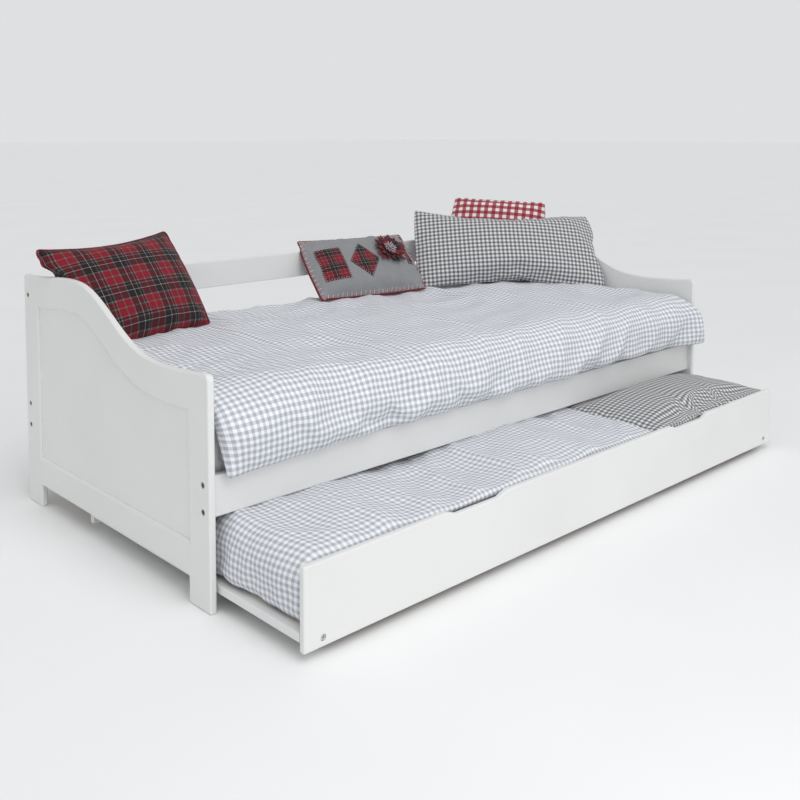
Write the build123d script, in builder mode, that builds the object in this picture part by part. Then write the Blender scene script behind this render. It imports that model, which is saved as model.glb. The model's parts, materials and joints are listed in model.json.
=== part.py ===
"""Daybed with a second bed on castors that rolls out from under it.

X runs along the bed, Y runs from front to back, Z is up, and all sizes are millimetres. The
origin is on the floor, in the middle of the footprint with the trundle partly drawn out.
"""

import os

from build123d import *

# Whole bed
LENGTH = 2060
DEPTH = 970
DRAWN_OUT = 306
FRONT = -(DEPTH + DRAWN_OUT) / 2 + DRAWN_OUT
BACK = FRONT + DEPTH

# Framed ends
END_T = 18
POST_W = 90
LEG_H = 64
BOTTOM_RAIL_TOP = 146
TOP_RAIL_H = 89
BEVEL_W = 8
BEVEL_D = 4
GROOVE_W = 6
GROOVE_D = 10
PANEL_GROW = 9
TENON_L = 24
CORNER_R = 14
FOOT_R = 4
EDGE_R = 5
INNER_X = LENGTH / 2 - END_T

# Shaped top edge of an end: distance from its front edge, height above the floor
CREST = [(0, 545), (183, 533), (325, 549), (463, 614), (600, 674), (690, 681), (970, 668)]

# Rails between the ends
RAIL_T = 18
RAIL_SETBACK = 17
RAIL_Z = (213, 309)
TOP_BACK_RAIL_Z = (564, 650)
FRONT_RAIL_Y = FRONT + RAIL_SETBACK + RAIL_T / 2
BACK_RAIL_Y = BACK - RAIL_SETBACK - RAIL_T / 2

# Bolted joints: an M6 socket bolt runs through the post into a barrel nut in the rail
BOLT_R = 3
BOLT_HOLE_R = 3.25
BOLT_L = 62
HEAD_R = 6.5
HEAD_H = 4
SOCKET_R = 2.9
SOCKET_D = 2.5
BORE_R = 7.25
BORE_D = 5
NUT_R = 5
NUT_L = 13
NUT_INSET = 32
NUT_OFFSET = (RAIL_T - NUT_L) / 2
RAIL_BOLT_Z = (229, 291)
TOP_BOLT_Z = 608
DOWEL_R = 4
DOWEL_L = 30
DOWEL_OFFSET = 26
TRUNDLE_DOWEL_R = 3
TRUNDLE_DOWEL_L = 20

# Slatted base
LEDGE_W = 22
LEDGE_H = 25
SLAT_T = 14
SLAT_W = 70
SLAT_COUNT = 12
SLAT_TOP = 270
SLAT_END_GAP = 2
SCREW_R = 2
SCREW_HEAD_R = 4
SCREW_L = 32
SCREW_CLEARANCE = 0.1
LEDGE_SCREWS = 6

# Bedding of the daybed
MATTRESS = (2000, 890, 170)
MATTRESS_R = 25
DUVET_TOP = 488
DUVET_HEM = 322
DUVET_FRONT = FRONT - 12
DUVET_END_GAP = 4

# Trundle
TRUNDLE_W = 2012
TRUNDLE_D = 935
BOARD_T = 16
BOARD_Z = (22, 204)
REAR_BOARD_TOP = 122
BOARD_EDGE_R = 4
TRUNDLE_FRONT = FRONT - DRAWN_OUT
TRUNDLE_BACK = TRUNDLE_FRONT + TRUNDLE_D
GRIP_X = 480
GRIP_TOP_W = 215
GRIP_BOTTOM_W = 145
GRIP_D = 12
GRIP_R = 14
BEARER_W = 30
BEARER_Z = (22, 62)
BEARER_INSET = 50
BEARER_COUNT = 4
BATTEN_H = 20
TRUNDLE_SLAT_T = 12
TRUNDLE_SLAT_W = 80
TRUNDLE_SLATS = 7
TRUNDLE_MATTRESS = (1900, 890, 100)
TRUNDLE_DUVET_TOP = 204
TRUNDLE_DUVET_END = 328
TRUNDLE_DUVET_SIDE = 1002
TRUNDLE_PILLOW = (670, 470, 34)

TRUNDLE_PILLOW_AT = (668, TRUNDLE_FRONT + 265)

# Cushions of the daybed: name, width, height and thickness, middle (from the left end's outer
# face, from the front edge, from the floor), turn and recline in degrees
CUSHIONS = [
    ("tartan_cushion", (430, 300, 90), (250, 765, 625), 10, 36),
    ("wool_cushion", (460, 260, 80), (1190, 818, 605), -6, 32),
    ("gingham_pillow", (620, 320, 110), (1765, 610, 634), -38, 33),
    ("red_gingham_cushion", (340, 320, 80), (1890, 765, 652), -50, 26),
]

# Castors
WHEEL_R = 20
WHEEL_W = 16
WHEEL_BORE_R = 3.08
TYRE_R = 3
AXLE_R = 3
CHEEK_T = 2
CHEEK_GAP = 1.5
CHEEK_W = 30
CHEEK_Z = (10, 50)
CASTOR_INSET = 140
CASTOR_SCREW_Z = 44
CASTOR_SCREW_L = 16

END_SIDES = {"left": -1, "right": 1}


def save(part, name):
    """Label a finished piece and write it to its own STEP file."""
    part.label = name
    export_step(part, f"parts/{name}.step")


def span(low, high):
    """Length and middle of a stretch."""
    return high - low, (low + high) / 2


# ---------------------------------------------------------------- framed ends


def crest_points(drop):
    """Points on the shaped top line of an end, moved down square to the line by drop."""
    with BuildLine(mode=Mode.PRIVATE) as line:
        Spline(*[(FRONT + y, z) for y, z in CREST])
    edge = line.edges()[0]
    steps = 2 * len(CREST)
    points = []
    for step in range(steps + 1):
        along = edge % (step / steps)
        point = edge @ (step / steps)
        points.append((point.X + along.Y * drop, point.Y - along.X * drop))
    return points


def opening_region(grow):
    """The opening inside an end's frame, grown outward into the frame by grow."""
    floor_z = BOTTOM_RAIL_TOP - grow
    width, middle = span(FRONT + POST_W - grow, BACK - POST_W + grow)
    top = crest_points(TOP_RAIL_H - grow)
    with BuildSketch() as region:
        with BuildLine():
            Spline(*top)
            Polyline(top[-1], (top[-1][0], floor_z), (top[0][0], floor_z), top[0])
        make_face()
        with Locations((middle, DEPTH / 2)):
            Rectangle(width, DEPTH, mode=Mode.INTERSECT)
    return region.sketch


def end_blank(side):
    """The whole frame of one end, before it is parted into posts and rails."""
    inner_legs = (FRONT + POST_W, BACK - POST_W)
    plane = Plane.YZ.offset(side * (LENGTH - END_T) / 2)
    with BuildPart() as blank:
        with BuildSketch(plane) as outline:
            with BuildLine():
                crest = Spline(*[(FRONT + y, z) for y, z in CREST])
                Polyline(
                    crest @ 1,
                    (BACK, 0),
                    (inner_legs[1], 0),
                    (inner_legs[1], LEG_H),
                    (inner_legs[0], LEG_H),
                    (inner_legs[0], 0),
                    (FRONT, 0),
                    crest @ 0,
                )
            make_face()
            fillet(outline.vertices().group_by(Axis.Y)[0], FOOT_R)
            fillet(outline.vertices().filter_by_position(Axis.Y, LEG_H + 1, DEPTH), CORNER_R)
        extrude(amount=END_T / 2, both=True)
        faces = blank.faces().sort_by(Axis.X)
        fillet(faces[0].edges() + faces[-1].edges(), EDGE_R)
        with BuildSketch(plane):
            add(opening_region(0))
        extrude(amount=END_T / 2, both=True, mode=Mode.SUBTRACT)
        for face in (blank.faces().sort_by(Axis.X)[0], blank.faces().sort_by(Axis.X)[-1]):
            rim = face.inner_wires()[0].edges()
            chamfer(rim, length=BEVEL_W, length2=BEVEL_D, reference=face)
        with BuildSketch(plane):
            add(opening_region(GROOVE_D))
        extrude(amount=GROOVE_W / 2, both=True, mode=Mode.SUBTRACT)
    return blank.part


def tenon_zones():
    """Middle height and height of the tenons: at the front post and at the rear post."""
    low = (LEG_H + BOTTOM_RAIL_TOP - GROOVE_D) / 2
    height = BOTTOM_RAIL_TOP - GROOVE_D - LEG_H - 2 * EDGE_R - 6
    front_top = CREST[0][1] - TOP_RAIL_H / 2 - 4
    rear_top = CREST[-1][1] - TOP_RAIL_H / 2 + 6
    return {"bottom": ((low, low), height), "top": ((front_top, rear_top), height)}


def build_end(name, side):
    """Two posts, two rails and an inset panel make up one end."""
    blank = end_blank(side)
    plane_x = side * (LENGTH - END_T) / 2
    cuts = (FRONT + POST_W, BACK - POST_W)
    zones = tenon_zones()
    bolt_rows = ((FRONT_RAIL_Y, RAIL_BOLT_Z), (BACK_RAIL_Y, (*RAIL_BOLT_Z, TOP_BOLT_Z)))
    outer_x = side * LENGTH / 2

    for index, label in enumerate(("front_post", "rear_post")):
        away = 1 if index else -1
        bolt_y, bolt_heights = bolt_rows[index]
        with BuildPart() as post:
            add(blank)
            split(bisect_by=Plane.XZ.offset(-cuts[index]), keep=Keep.BOTTOM if index else Keep.TOP)
            for middles, height in zones.values():
                with Locations((plane_x, cuts[index] + away * TENON_L / 2, middles[index])):
                    Box(GROOVE_W, TENON_L, height, mode=Mode.SUBTRACT)
            for z in bolt_heights:
                with Locations(Location((outer_x, bolt_y, z), (0, 90, 0))):
                    Cylinder(BORE_R, 2 * BORE_D, mode=Mode.SUBTRACT)
                    Cylinder(BOLT_HOLE_R, 3 * END_T, mode=Mode.SUBTRACT)
            if index:
                for offset in (-DOWEL_OFFSET, DOWEL_OFFSET):
                    at = (side * INNER_X, bolt_y, TOP_BOLT_Z + offset)
                    with Locations(Location(at, (0, 90, 0))):
                        Cylinder(DOWEL_R + SCREW_CLEARANCE, DOWEL_L, mode=Mode.SUBTRACT)
        save(post.part, f"{name}_{label}")

    with BuildPart() as rails:
        add(blank)
        split(bisect_by=Plane.XZ.offset(-cuts[0]), keep=Keep.BOTTOM)
        split(bisect_by=Plane.XZ.offset(-cuts[1]), keep=Keep.TOP)
    lower, upper = rails.solids().sort_by(Axis.Z)
    for label, solid, zone in (("bottom_rail", lower, "bottom"), ("top_rail", upper, "top")):
        middles, height = zones[zone]
        with BuildPart() as rail:
            add(solid)
            for index, away in ((0, -1), (1, 1)):
                with Locations((plane_x, cuts[index] + away * (TENON_L / 2 - 1), middles[index])):
                    Box(GROOVE_W, TENON_L, height)
        save(rail.part, f"{name}_{label}")

    with BuildPart() as panel:
        with BuildSketch(Plane.YZ.offset(plane_x)):
            add(opening_region(PANEL_GROW))
        extrude(amount=GROOVE_W / 2, both=True)
    save(panel.part, f"{name}_end_panel")


# ---------------------------------------------------------------- rails and fasteners


def ledge_screw_places():
    """Positions along X of the screws that hold a slat ledge to its rail."""
    step = (2 * INNER_X - 200) / (LEDGE_SCREWS - 1)
    return [-INNER_X + 100 + step * number for number in range(LEDGE_SCREWS)]


def build_rail(name, y, heights, bolt_zs, inner_way, dowels, ledge):
    """A board between the ends, bored at both ends for its bolts, nuts and dowels."""
    height, middle_z = span(*heights)
    with BuildPart() as rail:
        with Locations((0, y, middle_z)):
            Box(2 * INNER_X, RAIL_T, height)
        fillet(rail.edges().filter_by(Axis.X), 3)
        for side in END_SIDES.values():
            for z in bolt_zs:
                with Locations(Location((side * INNER_X, y, z), (0, 90, 0))):
                    Cylinder(BOLT_HOLE_R, 2 * BOLT_L, mode=Mode.SUBTRACT)
                nut_y = y + inner_way * NUT_OFFSET
                with Locations(Location((side * (INNER_X - NUT_INSET), nut_y, z), (90, 0, 0))):
                    Cylinder(NUT_R + SCREW_CLEARANCE, NUT_L + 1, mode=Mode.SUBTRACT)
            for z in dowels:
                with Locations(Location((side * INNER_X, y, z), (0, 90, 0))):
                    Cylinder(DOWEL_R + SCREW_CLEARANCE, DOWEL_L + 2, mode=Mode.SUBTRACT)
        if ledge:
            for x in ledge_screw_places():
                at = (x, y + inner_way * RAIL_T / 2, ledge_middle_z())
                with Locations(Location(at, (90, 0, 0))):
                    Cylinder(SCREW_R + SCREW_CLEARANCE, 2 * (SCREW_L - LEDGE_W) + 4, mode=Mode.SUBTRACT)
    save(rail.part, name)


def ledge_middle_z():
    """Middle height of the ledges that carry the slats."""
    return SLAT_TOP - SLAT_T - LEDGE_H / 2


def slat_places():
    """Positions along X of the slats of the daybed."""
    step = (MATTRESS[0] - SLAT_W - 40) / (SLAT_COUNT - 1)
    return [-step * (SLAT_COUNT - 1) / 2 + step * number for number in range(SLAT_COUNT)]


def ledge_ys():
    """Middle of each ledge and the way it faces: front ledge, back ledge."""
    reach = RAIL_T / 2 + LEDGE_W / 2
    return {"front": (FRONT_RAIL_Y + reach, 1), "back": (BACK_RAIL_Y - reach, -1)}


def screw_hole(location, length):
    """Bore a countersunk hole whose mouth is at the location, along its -Z."""
    with Locations(location):
        CounterSinkHole(SCREW_R + SCREW_CLEARANCE, SCREW_HEAD_R + SCREW_CLEARANCE, length)


def build_ledge(name, y, way):
    """A batten screwed to the inside of a side rail, on which the slats lie."""
    with BuildPart() as ledge:
        with Locations((0, y, ledge_middle_z())):
            Box(2 * INNER_X - 8, LEDGE_W, LEDGE_H)
        chamfer(ledge.edges().filter_by(Axis.X), 1)
        for x in ledge_screw_places():
            at = (x, y + way * LEDGE_W / 2, ledge_middle_z())
            screw_hole(Location(at, (-way * 90, 0, 0)), LEDGE_W)
        for x in slat_places():
            with Locations((x, y, SLAT_TOP - SLAT_T)):
                Cylinder(SCREW_R + SCREW_CLEARANCE, 2 * (SCREW_L - SLAT_T) + 4, mode=Mode.SUBTRACT)
    save(ledge.part, name)


def build_slats():
    """Slats across the daybed, one screw at each end."""
    width = 2 * (BACK_RAIL_Y - (BACK + FRONT) / 2) - RAIL_T - 2 * SLAT_END_GAP
    for number, x in enumerate(slat_places(), start=1):
        with BuildPart() as slat:
            with Locations((x, (FRONT + BACK) / 2, SLAT_TOP - SLAT_T / 2)):
                Box(SLAT_W, width, SLAT_T)
            fillet(slat.edges().filter_by(Axis.Y), 2.5)
            for y, _ in ledge_ys().values():
                screw_hole(Location((x, y, SLAT_TOP)), SLAT_T)
        save(slat.part, f"slat_{number:02d}")


def countersunk_screw(length):
    """A screw with its head flush at the origin and its point along -Z."""
    with BuildPart() as screw:
        Cylinder(SCREW_R, length, align=(Align.CENTER, Align.CENTER, Align.MAX))
        Cone(0.5, SCREW_HEAD_R, SCREW_HEAD_R, align=(Align.CENTER, Align.CENTER, Align.MAX))
        Box(SCREW_HEAD_R, 0.9, 1.6, mode=Mode.SUBTRACT)
        Box(0.9, SCREW_HEAD_R, 1.6, mode=Mode.SUBTRACT)
    return screw.part


def socket_bolt(length):
    """An M6 bolt with its shank along -Z and the underside of its socket head at the origin."""
    with BuildPart() as bolt:
        Cylinder(HEAD_R, HEAD_H, align=(Align.CENTER, Align.CENTER, Align.MIN))
        fillet(bolt.edges().group_by(Axis.Z)[-1], 0.8)
        Cylinder(BOLT_R, length, align=(Align.CENTER, Align.CENTER, Align.MAX))
        with BuildSketch(Plane.XY.offset(HEAD_H)):
            RegularPolygon(SOCKET_R, 6)
        extrude(amount=-SOCKET_D, mode=Mode.SUBTRACT)
    return bolt.part


def barrel_nut():
    """A steel barrel along Z, slotted at its top, with the bolt's bore across it along X."""
    with BuildPart() as nut:
        Cylinder(NUT_R, NUT_L)
        with Locations(Location((0, 0, -NUT_OFFSET), (0, 90, 0))):
            Cylinder(BOLT_R + SCREW_CLEARANCE, 4 * NUT_R, mode=Mode.SUBTRACT)
        with Locations((0, 0, NUT_L / 2)):
            Box(2 * NUT_R, 1.2, 2.4, mode=Mode.SUBTRACT)
    return nut.part


def place(shape, locations, name):
    """Copy one fastener to every location and write the group as one node."""
    with BuildPart() as group:
        with Locations(*locations):
            add(shape)
    save(group.part, name)


def build_daybed_fasteners():
    """Bolts, barrel nuts, dowels and screws of the daybed."""
    joints = [(FRONT_RAIL_Y, z, 1) for z in RAIL_BOLT_Z]
    joints += [(BACK_RAIL_Y, z, -1) for z in (*RAIL_BOLT_Z, TOP_BOLT_Z)]
    bolts = []
    nuts = []
    dowels = []
    for side in END_SIDES.values():
        seat = side * (LENGTH / 2 - BORE_D)
        for y, z, way in joints:
            bolts.append(Location((seat, y, z), (0, side * 90, 0)))
            nut_y = y + way * NUT_OFFSET
            nuts.append(Location((side * (INNER_X - NUT_INSET), nut_y, z), (-way * 90, 0, 0)))
        for offset in (-DOWEL_OFFSET, DOWEL_OFFSET):
            dowels.append(Location((side * INNER_X, BACK_RAIL_Y, TOP_BOLT_Z + offset), (0, 90, 0)))
    place(socket_bolt(BOLT_L), bolts, "frame_bolts")
    place(barrel_nut(), nuts, "frame_barrel_nuts")
    with BuildPart() as dowel:
        Cylinder(DOWEL_R, DOWEL_L - 2)
        chamfer(dowel.edges(), 0.8)
    place(dowel.part, dowels, "back_rail_dowels")

    ledge_screws = []
    slat_screws = []
    for y, way in ledge_ys().values():
        for x in ledge_screw_places():
            at = (x, y + way * LEDGE_W / 2, ledge_middle_z())
            ledge_screws.append(Location(at, (-way * 90, 0, 0)))
        for x in slat_places():
            slat_screws.append(Location((x, y, SLAT_TOP)))
    place(countersunk_screw(SCREW_L), ledge_screws, "ledge_screws")
    place(countersunk_screw(SCREW_L), slat_screws, "slat_screws")


# ---------------------------------------------------------------- bedding


def build_block(name, size, bottom_middle, radius):
    """A soft block with rounded edges, standing on bottom_middle."""
    x, y, z = bottom_middle
    with BuildPart() as block:
        with Locations((x, y, z + size[2] / 2)):
            Box(*size)
        fillet(block.edges(), radius)
    save(block.part, name)


def lean(centre, turn, recline):
    """Plane of a cushion turned about Z and leaning back, in degrees; its Z faces outward."""
    across = Vector(1, 0, 0).rotate(Axis.Z, turn)
    outward = Vector(0, -1, 0).rotate(Axis.X, -recline).rotate(Axis.Z, turn)
    return Plane(origin=centre, x_dir=across, z_dir=outward)


def build_cushion(name, size, plane):
    """A filled cushion, thick in the middle and thin at its edges, lying in a plane."""
    width, height, thickness = size
    with BuildPart() as cushion:
        for offset, share in ((-thickness / 2, 0.5), (0, 1), (thickness / 2, 0.5)):
            with BuildSketch(plane.offset(offset)):
                RectangleRounded(width * share, height * share, height * share * 0.2)
        loft()
    save(cushion.part, name)


def build_duvet():
    """The main duvet lies on the mattress and hangs down in front of it."""
    bed_top = SLAT_TOP + MATTRESS[2]
    mattress_front = (FRONT + BACK - MATTRESS[1]) / 2
    half = INNER_X - DUVET_END_GAP
    with BuildPart() as duvet:
        with BuildSketch(Plane.YZ):
            with BuildLine():
                Polyline(
                    (BACK_RAIL_Y - RAIL_T / 2 - 4, bed_top),
                    (BACK_RAIL_Y - RAIL_T / 2 - 4, DUVET_TOP),
                    (DUVET_FRONT, DUVET_TOP),
                    (DUVET_FRONT, DUVET_HEM),
                    (mattress_front - 1, DUVET_HEM),
                    (mattress_front - 1, bed_top),
                    close=True,
                )
            make_face()
        extrude(amount=half, both=True)
        outer = duvet.edges().filter_by(Axis.X)
        fillet(outer.sort_by(Axis.Y)[:2].sort_by(Axis.Z)[-1], 45)
        fillet(duvet.edges().filter_by(Axis.X).group_by(Axis.Z)[0], 14)
        fillet(duvet.edges().filter_by(Axis.X).group_by(Axis.Y)[-1].sort_by(Axis.Z)[-1], 20)
    save(duvet.part, "duvet")


def build_bedding():
    """Mattress, duvet, pillow and cushions of the daybed."""
    middle_y = (FRONT + BACK) / 2
    build_block("mattress", MATTRESS, (0, middle_y, SLAT_TOP), MATTRESS_R)
    build_duvet()
    for name, size, centre, turn, recline in CUSHIONS:
        x, y, z = centre
        build_cushion(name, size, lean((x - LENGTH / 2, y + FRONT, z), turn, recline))


# ---------------------------------------------------------------- trundle


def bearer_places():
    """Positions along X of the bearers that run from the front to the rear board."""
    first = -TRUNDLE_W / 2 + BEARER_INSET
    step = -2 * first / (BEARER_COUNT - 1)
    return [first + step * number for number in range(BEARER_COUNT)]


def bearer_joints():
    """Locations of the dowelled joints between the inner bearers and the two boards."""
    middle_z = sum(BEARER_Z) / 2
    inner = bearer_places()[1:-1]
    ends = (TRUNDLE_FRONT + BOARD_T, TRUNDLE_BACK - BOARD_T)
    offsets = (-BEARER_W / 4, BEARER_W / 4)
    return [(x + o, y, middle_z) for x in inner for y in ends for o in offsets]


def bore(locations, radius, length):
    """Cut a round hole of the given length, centred on each location, along its Z."""
    with Locations(*locations):
        Cylinder(radius, length, mode=Mode.SUBTRACT)


def facing_y(x, y, z):
    """A location whose Z points along Y."""
    return Location((x, y, z), (-90, 0, 0))


def build_trundle_boards():
    """Front panel with its two hand grips, and the plain rear board."""
    bolt_z = sum(BEARER_Z) / 2
    outer = (bearer_places()[0], bearer_places()[-1])
    dowels = [facing_y(*joint) for joint in bearer_joints()]
    for name, y, way, top in (
        ("trundle_front_panel", TRUNDLE_FRONT, 1, BOARD_Z[1]),
        ("trundle_rear_board", TRUNDLE_BACK, -1, REAR_BOARD_TOP),
    ):
        with BuildPart() as board:
            with BuildSketch(Plane.XZ.offset(-y)) as face:
                with Locations((0, (BOARD_Z[0] + top) / 2)):
                    RectangleRounded(TRUNDLE_W, top - BOARD_Z[0], BOARD_EDGE_R)
                if way > 0:
                    for x in (-GRIP_X, GRIP_X):
                        add(grip_region(x), mode=Mode.SUBTRACT)
            extrude(amount=-way * BOARD_T)
            rims = board.faces().filter_by(Axis.Y)
            fillet(rims.edges(), BOARD_EDGE_R)
            bore([facing_y(x, y, bolt_z) for x in outer], BORE_R, 2 * BORE_D)
            bore([facing_y(x, y, bolt_z) for x in outer], BOLT_HOLE_R, 3 * BOARD_T)
            near = [spot for spot in dowels if abs(spot.position.Y - y) < 2 * BOARD_T]
            bore(near, TRUNDLE_DOWEL_R + SCREW_CLEARANCE, TRUNDLE_DOWEL_L + 2)
        save(board.part, name)


def grip_region(x):
    """Sketch a shallow hand grip, cut into the top edge of the front panel."""
    top = BOARD_Z[1]
    with BuildSketch() as region:
        with BuildLine():
            Polyline(
                (x - GRIP_TOP_W / 2, top + GRIP_D),
                (x - GRIP_TOP_W / 2, top),
                (x - GRIP_BOTTOM_W / 2, top - GRIP_D),
                (x + GRIP_BOTTOM_W / 2, top - GRIP_D),
                (x + GRIP_TOP_W / 2, top),
                (x + GRIP_TOP_W / 2, top + GRIP_D),
                close=True,
            )
        make_face()
        fillet(region.vertices().filter_by_position(Axis.Y, top - GRIP_D - 1, top - GRIP_D + 1), GRIP_R)
    return region.sketch


def build_trundle_frame():
    """Bearers, edge battens and slats of the trundle."""
    length = TRUNDLE_D - 2 * BOARD_T
    middle_y = (TRUNDLE_FRONT + TRUNDLE_BACK) / 2
    height, middle_z = span(*BEARER_Z)
    joints = [facing_y(*joint) for joint in bearer_joints()]
    for number, x in enumerate(bearer_places(), start=1):
        outer = number in (1, BEARER_COUNT)
        side = -1 if number == 1 else 1
        with BuildPart() as bearer:
            with Locations((x, middle_y, middle_z)):
                Box(BEARER_W, length, height)
            if outer:
                for way, end_y in ((1, TRUNDLE_FRONT), (-1, TRUNDLE_BACK)):
                    bore([facing_y(x, end_y, middle_z)], BOLT_HOLE_R, 2 * (BOLT_L + BORE_D + 3))
                    nut_y = end_y + way * (BOARD_T + NUT_INSET)
                    mouth = Location((x - side * BEARER_W / 2, nut_y, middle_z), (0, 90, 0))
                    bore([mouth], NUT_R + SCREW_CLEARANCE, BEARER_W + NUT_L - 2 * NUT_OFFSET + 1)
                for at in castor_screw_places():
                    if at[0] * side > 0:
                        bore([Location(at, (0, 90, 0))], SCREW_R + SCREW_CLEARANCE, 2 * CASTOR_SCREW_L)
            else:
                near = [spot for spot in joints if abs(spot.position.X - x) < BEARER_W]
                bore(near, TRUNDLE_DOWEL_R + SCREW_CLEARANCE, TRUNDLE_DOWEL_L + 2)
            for y in trundle_slat_places():
                bore([Location((x, y, BEARER_Z[1]))], SCREW_R + SCREW_CLEARANCE, 2 * (CASTOR_SCREW_L + 2))
        save(bearer.part, f"trundle_bearer_{number}")

    width = BEARER_INSET - BEARER_W / 2
    for label, side in END_SIDES.items():
        with BuildPart() as batten:
            with Locations((side * (TRUNDLE_W - width) / 2, middle_y, BEARER_Z[1] - BATTEN_H / 2)):
                Box(width, length, BATTEN_H)
            fillet(batten.edges().filter_by(Axis.Y), 2)
        save(batten.part, f"trundle_{label}_batten")

    with BuildPart() as slats:
        for y in trundle_slat_places():
            with Locations((0, y, BEARER_Z[1] + TRUNDLE_SLAT_T / 2)):
                Box(2 * bearer_places()[-1] + BEARER_W, TRUNDLE_SLAT_W, TRUNDLE_SLAT_T)
            for x in bearer_places():
                screw_hole(Location((x, y, BEARER_Z[1] + TRUNDLE_SLAT_T)), TRUNDLE_SLAT_T)
    save(slats.part, "trundle_slats")


def trundle_slat_places():
    """Positions along Y of the long slats of the trundle."""
    inside = TRUNDLE_D - 2 * BOARD_T - TRUNDLE_SLAT_W - 20
    first = (TRUNDLE_FRONT + TRUNDLE_BACK - inside) / 2
    return [first + inside * number / (TRUNDLE_SLATS - 1) for number in range(TRUNDLE_SLATS)]


def castor_places():
    """Name, side and wheel centre of each castor."""
    reach = bearer_places()[-1] - BEARER_W / 2 - CHEEK_T - CHEEK_GAP - WHEEL_W / 2
    ends = {"front": TRUNDLE_FRONT + CASTOR_INSET, "rear": TRUNDLE_BACK - CASTOR_INSET}
    return [
        (f"{end}_{label}", side, (side * reach, y, WHEEL_R))
        for label, side in END_SIDES.items()
        for end, y in ends.items()
    ]


def castor_screw_places():
    """Mouths of the screws that hold the castor housings to the outer bearers."""
    face = bearer_places()[-1] - BEARER_W / 2
    return [
        (side * (face - CHEEK_T), centre[1] + offset, CASTOR_SCREW_Z)
        for _, side, centre in castor_places()
        for offset in (-CHEEK_W / 4, CHEEK_W / 4)
    ]


def build_castors():
    """Four fixed castors: pressed steel housings, axles and grooved wheels."""
    low, high = CHEEK_Z
    outer_w = WHEEL_W + 2 * CHEEK_GAP + 2 * CHEEK_T
    with BuildPart() as housing:
        with BuildSketch(Plane.XY.offset(high - WHEEL_R)):
            Rectangle(outer_w, CHEEK_W)
        extrude(amount=-CHEEK_T)
        for side in END_SIDES.values():
            with Locations((side * (outer_w - CHEEK_T) / 2, 0, (low + high) / 2 - WHEEL_R)):
                Box(CHEEK_T, CHEEK_W, high - low)
        fillet(housing.edges().filter_by(Axis.X).group_by(Axis.Z)[0], CHEEK_W / 4)
        bore([Location((0, 0, 0), (0, 90, 0))], AXLE_R + SCREW_CLEARANCE, 2 * outer_w)
        for y in (-CHEEK_W / 4, CHEEK_W / 4):
            spot = Location((0, y, CASTOR_SCREW_Z - WHEEL_R), (0, 90, 0))
            bore([spot], SCREW_R + SCREW_CLEARANCE, 2 * outer_w)
    place(housing.part, [Location(centre) for _, _, centre in castor_places()], "castor_housings")

    with BuildPart() as axle:
        with Locations(Location((0, 0, 0), (0, 90, 0))):
            Cylinder(AXLE_R, outer_w)
    place(axle.part, [Location(centre) for _, _, centre in castor_places()], "castor_axles")

    for name, _, centre in castor_places():
        with BuildPart() as wheel:
            with Locations(Location(centre, (0, 90, 0))):
                Cylinder(WHEEL_R, WHEEL_W)
            fillet(wheel.edges(), TYRE_R)
            bore([Location(centre, (0, 90, 0))], WHEEL_BORE_R, 2 * WHEEL_W)
        save(wheel.part, f"castor_wheel_{name}")

    with BuildPart() as screw:
        Cylinder(SCREW_R, CASTOR_SCREW_L, align=(Align.CENTER, Align.CENTER, Align.MAX))
        Cylinder(SCREW_HEAD_R, 1.2, align=(Align.CENTER, Align.CENTER, Align.MIN))
    spots = [
        Location(at, (0, -90 if at[0] > 0 else 90, 0))
        for at in castor_screw_places()
    ]
    place(screw.part, spots, "castor_screws")


def build_trundle_fasteners():
    """Bolts, barrel nuts, dowels and slat screws of the trundle."""
    middle_z = sum(BEARER_Z) / 2
    bolts = []
    nuts = []
    for x in (bearer_places()[0], bearer_places()[-1]):
        side = 1 if x > 0 else -1
        for way, end_y in ((1, TRUNDLE_FRONT), (-1, TRUNDLE_BACK)):
            bolts.append(Location((x, end_y + way * BORE_D, middle_z), (way * 90, 0, 0)))
            nut_at = (x - side * NUT_OFFSET, end_y + way * (BOARD_T + NUT_INSET), middle_z)
            nuts.append(Plane(nut_at, x_dir=(0, 1, 0), z_dir=(-side, 0, 0)).location)
    place(socket_bolt(BOLT_L), bolts, "trundle_bolts")
    place(barrel_nut(), nuts, "trundle_barrel_nuts")
    with BuildPart() as dowel:
        Cylinder(TRUNDLE_DOWEL_R, TRUNDLE_DOWEL_L)
    place(dowel.part, [facing_y(*joint) for joint in bearer_joints()], "trundle_dowels")


def build_trundle_bedding():
    """Mattress, duvet and pillow of the trundle, low enough to pass under the front rail."""
    deck = BEARER_Z[1] + TRUNDLE_SLAT_T
    top = deck + TRUNDLE_MATTRESS[2]
    hem = deck + 0.5
    middle_y = (TRUNDLE_FRONT + TRUNDLE_BACK) / 2
    build_block("trundle_mattress", TRUNDLE_MATTRESS, (0, middle_y, deck), MATTRESS_R)

    with BuildPart() as duvet:
        with BuildSketch(Plane.XZ.offset(-middle_y)):
            with BuildLine():
                Polyline(
                    (-TRUNDLE_DUVET_SIDE, hem),
                    (-TRUNDLE_DUVET_SIDE, TRUNDLE_DUVET_TOP),
                    (TRUNDLE_DUVET_END, TRUNDLE_DUVET_TOP),
                    (TRUNDLE_DUVET_END, top),
                    (-TRUNDLE_MATTRESS[0] / 2 - 1, top),
                    (-TRUNDLE_MATTRESS[0] / 2 - 1, hem),
                    close=True,
                )
            make_face()
        extrude(amount=(TRUNDLE_D - 2 * BOARD_T) / 2 - 3, both=True)
        fillet(duvet.edges().filter_by(Axis.Y).group_by(Axis.X)[0].sort_by(Axis.Z)[-1], 28)
    save(duvet.part, "trundle_duvet")

    x, y = TRUNDLE_PILLOW_AT
    build_block("trundle_pillow", TRUNDLE_PILLOW, (x, y, top + 0.3), 15)


# ---------------------------------------------------------------- whole object

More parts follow.
